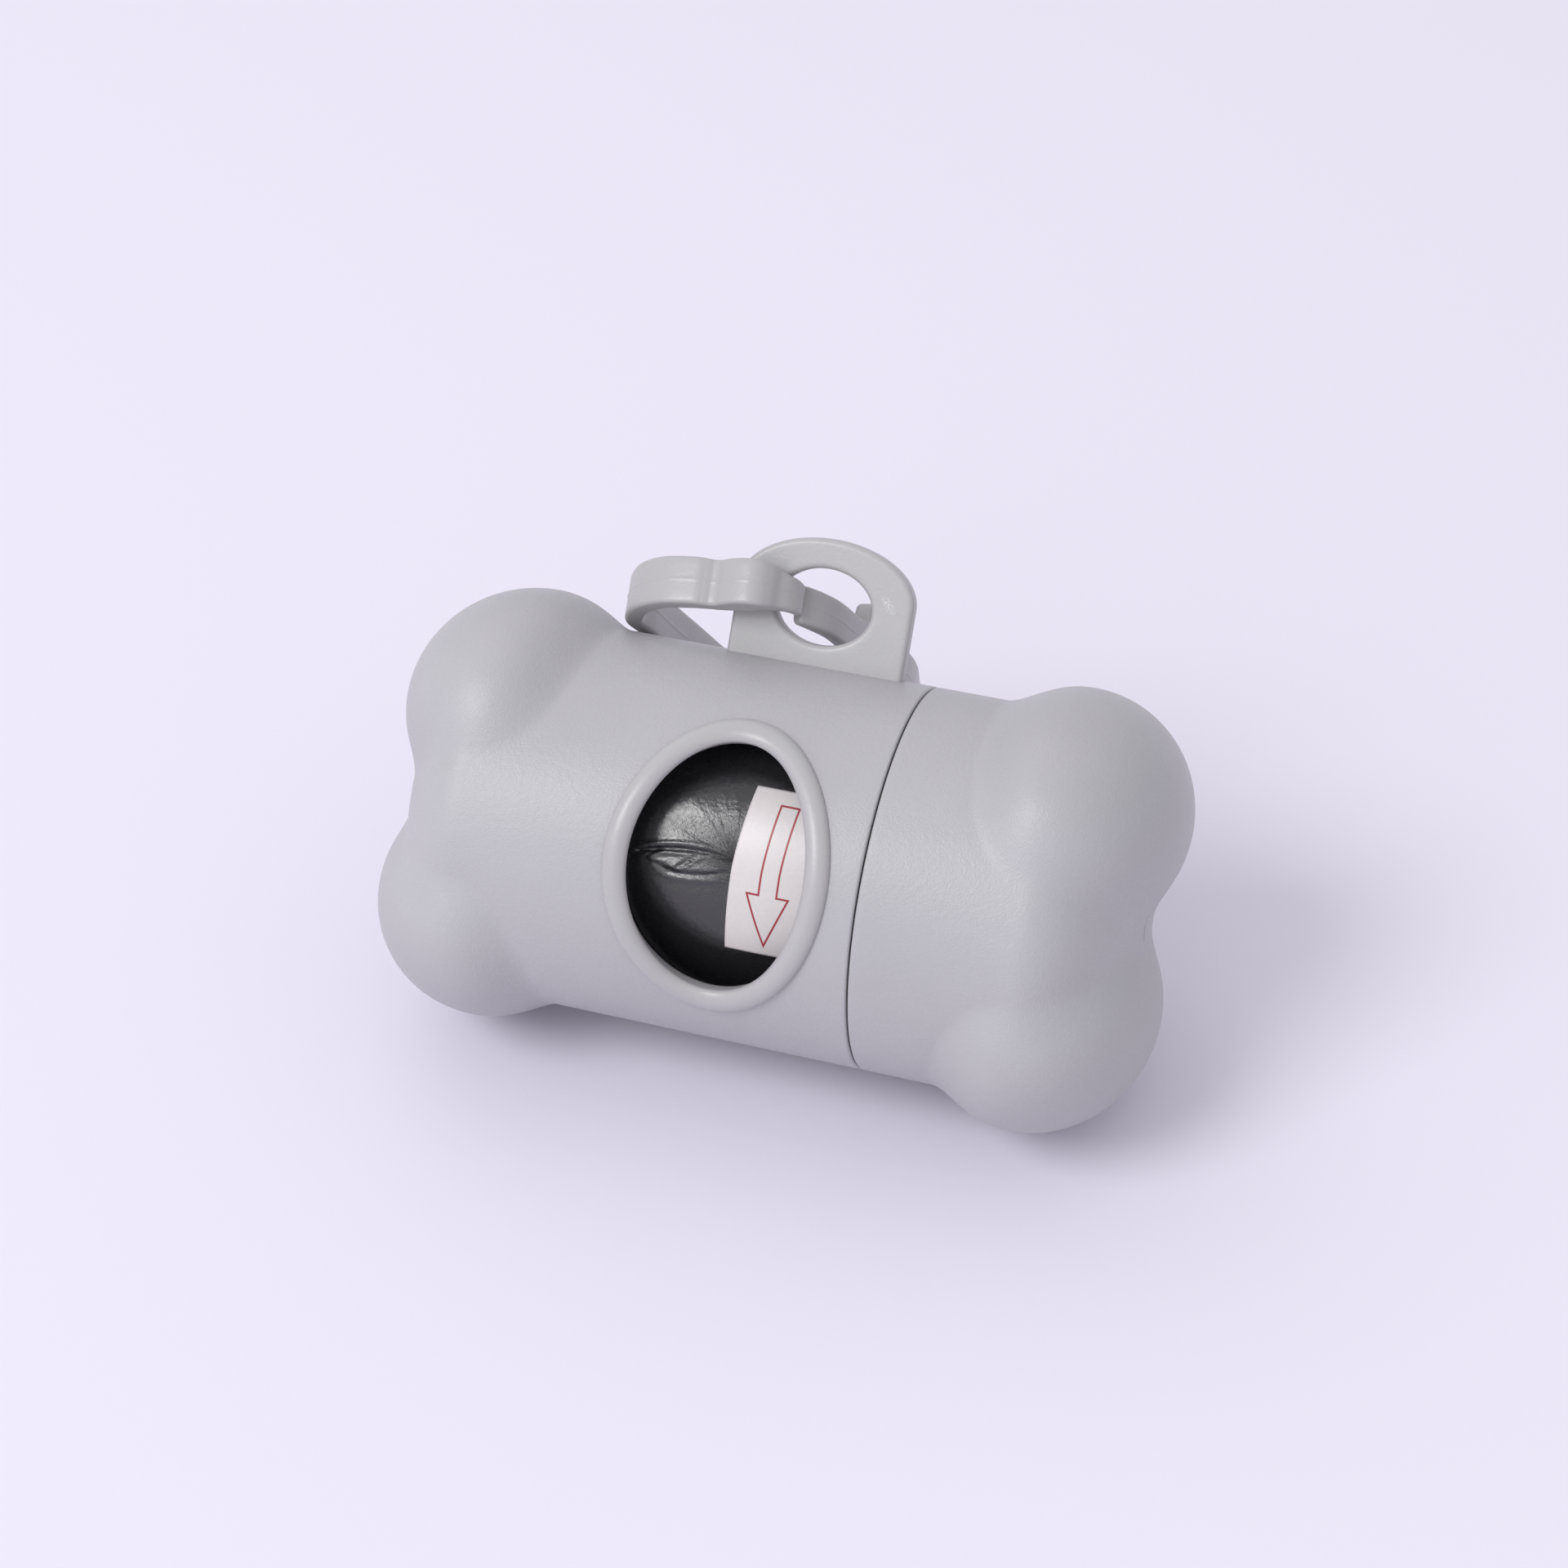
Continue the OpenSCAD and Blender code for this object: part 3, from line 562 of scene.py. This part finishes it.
class Maker:
    """Places nodes in a tree and joins them: a value that is a socket is linked, any other is set."""

    def __init__(self, tree):
        self.tree = tree

    def feed(self, socket, value):
        if isinstance(value, bpy.types.NodeSocket):
            self.tree.links.new(value, socket)
        else:
            socket.default_value = value

    def node(self, kind, settings=None, **inputs):
        """A node with its inputs by name, or by number as i0, i1 and so on."""
        made = self.tree.nodes.new(kind)
        for key, value in (settings or {}).items():
            setattr(made, key, value)
        for key, value in inputs.items():
            self.feed(made.inputs[int(key[1:]) if key[1:].isdigit() else key], value)
        return made

    def placed(self, tree, **inputs):
        """A node group, with its inputs by name."""
        return self.node("ShaderNodeGroup", {"node_tree": tree}, **inputs)

    def math(self, operation, a, b=0.0, c=0.0):
        return self.node("ShaderNodeMath", {"operation": operation}, i0=a, i1=b, i2=c).outputs[0]

    def vector(self, operation, a, b, output="Vector"):
        return self.node("ShaderNodeVectorMath", {"operation": operation}, i0=a, i1=b).outputs[output]

    def scaled(self, a, scale):
        return self.node("ShaderNodeVectorMath", {"operation": "SCALE"}, i0=a, Scale=scale).outputs[0]

    def stretched(self, spot, scale):
        return self.node("ShaderNodeMapping", Vector=spot, Scale=scale).outputs[0]

    def apart(self, spot):
        return self.node("ShaderNodeSeparateXYZ", Vector=spot).outputs

    def mix(self, factor, a, b):
        """Colour a where the factor is 0 and b where it is 1."""
        return self.node("ShaderNodeMix", {"data_type": "RGBA"}, i0=factor, i6=a, i7=b).outputs[2]

    def noise(self, spot, scale, detail=2.0, roughness=0.5):
        return self.node("ShaderNodeTexNoise", Vector=spot, Scale=scale, Detail=detail,
                         Roughness=roughness).outputs["Fac"]

    def span(self, value, low, high, to_low=0.0, to_high=1.0):
        """The value from low to high moved to a new range, and kept inside it."""
        return self.node("ShaderNodeMapRange", {"clamp": True}, i0=value, i1=low, i2=high, i3=to_low,
                         i4=to_high).outputs[0]

    def bump(self, height, distance, shader, strength=1.0):
        """Lifts the shader's surface by the height times the distance, in metres."""
        made = self.node("ShaderNodeBump", Height=height, Strength=strength, Distance=distance)
        self.feed(shader.inputs["Normal"], made.outputs[0])


def grain_group():
    """Fine moulded grain: a height of pebbles at one size with softer unevenness under it, and a speckle
    mask for the few pebbles that catch the light."""
    tree, start, end = group("moulded_grain",
                             [("Spot", "NodeSocketVector", None), ("Size", "NodeSocketFloat", 3000.0)],
                             [("Height", "NodeSocketFloat"), ("Speckle", "NodeSocketFloat")])
    make, spot, size = Maker(tree), start.outputs["Spot"], start.outputs["Size"]
    fine = make.noise(spot, size, 2.0, 0.55)
    coarse = make.noise(spot, make.math("MULTIPLY", size, 0.3), 1.0, 0.5)
    make.feed(end.inputs["Height"], make.math("MULTIPLY_ADD", coarse, 0.6, fine))
    make.feed(end.inputs["Speckle"], make.span(fine, 0.6, 0.72))
    return tree


def dust_group():
    """Sparse dust: a mask of small specks, from the cells of a Voronoi pattern that are picked by their own
    colour, and drawn out a little by a noise that bends the pattern."""
    tree, start, end = group("dust", [("Spot", "NodeSocketVector", None), ("Size", "NodeSocketFloat", 260.0)],
                             [("Mask", "NodeSocketFloat")])
    make, spot = Maker(tree), start.outputs["Spot"]
    bent = make.node("ShaderNodeTexNoise", Vector=spot, Scale=900.0, Detail=1.0).outputs["Color"]
    moved = make.vector("ADD", spot, make.scaled(bent, 0.0012))
    cells = make.node("ShaderNodeTexVoronoi", Vector=moved, Scale=start.outputs["Size"]).outputs
    red = make.node("ShaderNodeSeparateColor", Color=cells["Color"]).outputs[0]
    picked = make.math("GREATER_THAN", red, 0.975)
    near = make.span(cells["Distance"], 0.02, 0.06, 1.0, 0.0)
    make.feed(end.inputs["Mask"], make.math("MULTIPLY", picked, near))
    return tree


def mark_group():
    """A mark along a short straight line between two spots: a mask that is 1 on the line and fades to 0 at
    the given reach, broken up by a noise of the given grain."""
    spots = [(label, "NodeSocketVector", None) for label in ("Spot", "From", "To")]
    numbers = [("Reach", "NodeSocketFloat", 0.0003), ("Grain", "NodeSocketFloat", 3000.0),
               ("Broken", "NodeSocketFloat", 0.5)]
    tree, start, end = group("mark", spots + numbers, [("Mask", "NodeSocketFloat")])
    make, given = Maker(tree), start.outputs

    def from_0_to_1(value):
        return make.math("MINIMUM", make.math("MAXIMUM", value, 0.0), 1.0)

    whole = make.vector("SUBTRACT", given["To"], given["From"])
    part = make.vector("SUBTRACT", given["Spot"], given["From"])
    share = from_0_to_1(make.math("DIVIDE", make.vector("DOT_PRODUCT", part, whole, "Value"),
                                  make.vector("DOT_PRODUCT", whole, whole, "Value")))
    off = make.vector("DISTANCE", part, make.scaled(whole, share), "Value")
    near = from_0_to_1(make.math("SUBTRACT", 1.0, make.math("DIVIDE", off, given["Reach"])))
    kept = make.math("GREATER_THAN", make.noise(given["Spot"], given["Grain"], 3.0, 0.7), given["Broken"])
    make.feed(end.inputs["Mask"], make.math("MULTIPLY", near, kept))
    return tree


GRAIN, DUST, MARK = grain_group(), dust_group(), mark_group()


def material(name):
    """A new material, a maker for its nodes, its shader, and the spot in the object's own space."""
    made = bpy.data.materials.new(name)
    made.use_nodes = True
    tree = made.node_tree
    spot = tree.nodes.new("ShaderNodeTexCoord").outputs["Object"]
    return made, Maker(tree), tree.nodes["Principled BSDF"], spot


def moulded_plastic(name, colour, rough, size, depth, dust, specks, marks):
    """Grey plastic with moulded grain: the grain lifts the surface and breaks up the gloss, and the colour
    drifts a little over the piece. Each mark, painted shade or a scuff, has its ends in millimetres, reach,
    grain, how broken it is, strength and colour."""
    made, make, shader, spot = material(name)
    grain = make.placed(GRAIN, Spot=spot, Size=size).outputs
    drift = make.span(make.noise(spot, 55.0, 3.0), 0.3, 0.7)
    dark, pale = (tuple(c * share for c in colour[:3]) + (1,) for share in (0.96, 1.03))
    base = make.mix(drift, dark, pale)
    mask = make.placed(DUST, Spot=spot, Size=190.0).outputs["Mask"]
    base = make.mix(make.math("MULTIPLY", mask, dust), base, (0.12, 0.115, 0.11, 1))
    # Each mark mixes its colour into the base: on the shell these are painted shade, on the tab scuffs of
    # whitened plastic
    for ends, reach, grain_size, broken, strength, paint in marks:
        first, last = (tuple(np.array(p) * MM) for p in ends)
        mask = make.placed(MARK, Spot=spot, From=first, To=last, Reach=reach * MM, Grain=grain_size,
                           Broken=broken).outputs["Mask"]
        base = make.mix(make.math("MULTIPLY", mask, strength), base, paint)
    make.feed(shader.inputs["Base Color"], base)
    make.feed(shader.inputs["Roughness"], make.math("MULTIPLY_ADD", grain["Speckle"], -specks, rough))
    make.bump(grain["Height"], depth, shader)
    return made


def film_finish():
    """Black film: glossy, with fine pulls that run out from the knot like spokes, from a noise over the
    bearing from the knot, pleats along the creases, and fine rumples, all from the film's own map in
    millimetres."""
    made, make, shader, spot = material("black_film")
    own = make.node("ShaderNodeUVMap", {"uv_map": "own"}).outputs[0]
    x, y = make.apart(own)[:2]
    dx, dy = make.math("SUBTRACT", x, KNOT[0]), make.math("SUBTRACT", y, KNOT[1])
    bearing = make.math("ARCTAN2", dy, make.math("MULTIPLY", dx, -1.0))
    far = make.math("SQRT", make.math("ADD", make.math("MULTIPLY", dx, dx), make.math("MULTIPLY", dy, dy)))
    polar = make.node("ShaderNodeCombineXYZ", X=bearing, Y=make.math("MULTIPLY", far, 0.09)).outputs[0]
    spokes = make.noise(polar, 11.0, 4.0, 0.65)
    close = make.span(far, 1.0, 9.0, 1.0, 0.0)
    rumples = make.noise(own, 2.2, 4.0, 0.6)
    off = make.math("ABSOLUTE", make.math("SUBTRACT", y, 0.3))
    pleats = make.noise(make.stretched(own, (0.3, 2.0, 1)), 1.6, 3.0, 0.6)
    pleats = make.math("MULTIPLY", pleats, make.span(off, 0.8, 2.0, 1.0, 0.0))
    pulls = make.math("ADD", make.math("MULTIPLY", spokes, 1.6), make.math("MULTIPLY", pleats, 2.2))
    loose = make.math("MULTIPLY_ADD", close, 0.7, 0.15)
    height = make.math("ADD", make.math("MULTIPLY", pulls, close), make.math("MULTIPLY", rumples, loose))
    dust = make.placed(DUST, Spot=spot, Size=420.0).outputs["Mask"]
    black, pale = (0.011, 0.011, 0.0135, 1), (0.35, 0.35, 0.36, 1)
    make.feed(shader.inputs["Base Color"], make.mix(dust, black, pale))
    make.feed(shader.inputs["Roughness"], make.span(rumples, 0.3, 0.7, 0.17, 0.3))
    shader.inputs["Specular IOR Level"].default_value = 1.0
    make.bump(height, 0.00009, shader)
    return made


def arrow_mask(make, own):
    """Line of the arrow's outline, from the label's own map in millimetres: the shape is a shaft, a box,
    joined to a head, a triangle, each as a signed distance, and the line lies where the least is near 0."""
    middle, shaft_half, shaft_top, shaft_end = 3.06, 0.93, -7.0, 2.6
    head_from, tip, flare = 2.12, 7.5, 0.4
    x, y = make.apart(own)[:2]
    off = make.math("ABSOLUTE", make.math("SUBTRACT", x, middle))
    along = make.math("ABSOLUTE", make.math("SUBTRACT", y, (shaft_top + shaft_end) / 2))
    shaft = make.math("MAXIMUM", make.math("SUBTRACT", off, shaft_half),
                      make.math("SUBTRACT", along, (shaft_end - shaft_top) / 2))
    side = make.math("SUBTRACT", off, make.math("MULTIPLY", make.math("SUBTRACT", tip, y), flare))
    side = make.math("MULTIPLY", side, 1 / math.hypot(1, flare))
    head = make.math("MAXIMUM", side, make.math("SUBTRACT", head_from, y))
    nearest = make.math("ABSOLUTE", make.math("MINIMUM", shaft, head))
    return make.span(nearest, 0.08, 0.13, 1.0, 0.0)


def paper_finish():
    """White coated paper with a plain outline arrow, a faint fibre and a soft gloss."""
    made, make, shader, spot = material("label_paper")
    own = make.node("ShaderNodeUVMap", {"uv_map": "own"}).outputs[0]
    fibre = make.noise(spot, 2500.0, 3.0)
    white = make.mix(fibre, srgb(202, 197, 197), srgb(213, 208, 208))
    make.feed(shader.inputs["Base Color"], make.mix(arrow_mask(make, own), white, srgb(150, 38, 50)))
    shader.inputs["Roughness"].default_value = 0.32
    make.bump(fibre, 0.00003, shader, 0.3)
    return made


def card_finish():
    """Brown card with long fibres."""
    made, make, shader, spot = material("core_card")
    fibre = make.noise(make.stretched(spot, (0.2, 1, 1)), 1800.0, 4.0)
    make.feed(shader.inputs["Base Color"], make.mix(fibre, srgb(142, 118, 92), srgb(176, 152, 122)))
    shader.inputs["Roughness"].default_value = 0.85
    make.bump(fibre, 0.00006, shader, 0.5)
    return made


def floor_finish():
    """Pale seamless paper, without gloss."""
    made, _, shader, _ = material("pale_floor")
    shader.inputs["Base Color"].default_value = srgb(227, 223, 236)
    shader.inputs["Roughness"].default_value = 1.0
    shader.inputs["Specular IOR Level"].default_value = 0.0
    return made


# ---------------------------------------------------------------- the pieces and their finishes

# The first colour is painted shade, the dark of the slit and of the tab's corner; the second is the whitened
# plastic of the scuffs
PAINTED_SHADE, SCUFFED = (0.10, 0.085, 0.075, 1), (0.80, 0.80, 0.81, 1)
# A slit in the cleft of the cap and a speck in the corner at the tab's foot, both painted shade drawn as dark
# lines on the shell, then two scuffs of whitened plastic on the tab
shell_shade_marks = [(((39.0, -15.1, 26.1), (38.8, -15.5, 24.9)), 0.16, 900.0, 0.1, 0.8, PAINTED_SHADE),
               (((38.8, -15.5, 24.9), (38.9, -15.7, 23.3)), 0.22, 900.0, 0.1, 0.7, PAINTED_SHADE),
               (((6.3, -3.8, 40.8), (6.5, -3.6, 41.3)), 0.14, 900.0, 0.1, 0.8, PAINTED_SHADE)]
tab_marks = [(((5.0, 0.9, 49.0), (6.3, 1.5, 49.9)), 0.35, 6000.0, 0.5, 0.8, SCUFFED),
             (((6.6, 0.2, 47.6), (7.5, 0.0, 46.6)), 0.55, 6000.0, 0.54, 0.8, SCUFFED)]
shell = moulded_plastic("matte_shell", srgb(172, 171, 175), rough=0.4, size=5200.0, depth=0.00005,
                        dust=0.55, specks=0.16, marks=shell_shade_marks)
fitting = moulded_plastic("satin_fitting", srgb(172, 171, 173), rough=0.33, size=2600.0, depth=0.00002,
                          dust=0.4, specks=0.08, marks=tab_marks)
film, paper, card = film_finish(), paper_finish(), card_finish()

case_body, case_cap = case_pieces()
finished(case_body, shell, "case", "shell", "body_shell")
finished(case_cap, shell, "cap", "shell", "cap_shell")
finished(sleeve_piece(), fitting, "case", "fitting", "inner_sleeve")
finished(rim_piece(), fitting, "case", "fitting", "window_rim")
finished(tab_piece(), fitting, "case", "fitting", "hanger_tab")

# The arm is moulded in one with the loop. The ends of the line it would bend about, over the root of its
# curve, are worked out but not used, and the arm is baked in place without a body
clip_loop, clip_arm = clip_pieces()
finished(clip_loop, fitting, "clip", "fitting", "clip_frame")
clip_arm.data.materials.append(fitting)
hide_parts("latch_arm")
bend_from, bend_to = (hanging(np.array([x, y, 0])) * MM for x, y in ((-21.1, 6.0), (-17.5, -1.2)))
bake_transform(clip_arm)

finished(roll_piece(), film, "roll", "film", "bag_roll", "lead_bag")
finished(label_piece(), paper, "roll", "paper", "paper_label")

for node, finish in (("cap_collar", fitting), ("roll_core", card)):
    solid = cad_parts[node]
    solid.data.materials.clear()
    solid.data.materials.append(finish)


# ---------------------------------------------------------------- floor, light and camera

def floor_piece(half=1500.0):
    """A square floor at height 0, with half its side in millimetres."""
    mesh = bpy.data.meshes.new("floor")
    corners = [(-1, -1), (1, -1), (1, 1), (-1, 1)]
    mesh.from_pydata([(x * half * MM, y * half * MM, 0) for x, y in corners], [], [(0, 1, 2, 3)])
    piece = bpy.data.objects.new("floor", mesh)
    bpy.context.collection.objects.link(piece)
    piece.data.materials.append(floor_finish())


def look_along(thing, place, forward):
    """Puts a camera or lamp at a place, in millimetres, looking along forward, with its top up."""
    f = Vector(forward).normalized()
    right = f.cross(Vector((0, 0, 1))).normalized()
    up = right.cross(f)
    turned = Matrix((right, up, -f)).transposed()
    thing.matrix_world = Matrix.Translation(Vector(place) * MM) @ turned.to_4x4()


def soft_lamp(name, place, size, power, target=(0, -10, 20)):
    """A round lamp of a size in millimetres and a power in watts, which faces the part."""
    lamp = bpy.data.lights.new(name, "AREA")
    lamp.shape, lamp.size, lamp.energy = "DISK", size * MM, power
    thing = bpy.data.objects.new(name, lamp)
    bpy.context.collection.objects.link(thing)
    look_along(thing, place, np.array(target, float) - np.array(place, float))


floor_piece()
soft_lamp("key", (-811, -1158, 1414), 900, 16.0)
soft_lamp("front", (-732, -1570, 1000), 2000, 6.0)
soft_lamp("back", (-811, 811, 1638), 1500, 3.0)

world = bpy.data.worlds.new("studio")
bpy.context.scene.world = world
world.use_nodes = True
sky = world.node_tree.nodes["Background"].inputs
sky["Color"].default_value = (0.97, 0.96, 1.0, 1.0)
sky["Strength"].default_value = 0.75

# The camera is the one fitted to the photograph: field of view, turn round the part, height and place
camera = bpy.data.cameras.new("camera")
camera.sensor_fit = "HORIZONTAL"
camera.angle = math.radians(25.99)
camera.clip_start, camera.clip_end = 0.01, 20
viewer = bpy.data.objects.new("camera", camera)
bpy.context.collection.objects.link(viewer)
azimuth, elevation = math.radians(17.60), math.radians(37.86)
ahead = (-math.sin(azimuth) * math.cos(elevation), math.cos(azimuth) * math.cos(elevation),
         -math.sin(elevation))
look_along(viewer, (82.98, AXIS_Y - 260.81, AXIS_Z + 222.02), ahead)
bpy.context.scene.camera = viewer
bpy.context.scene.view_settings.view_transform = "Standard"
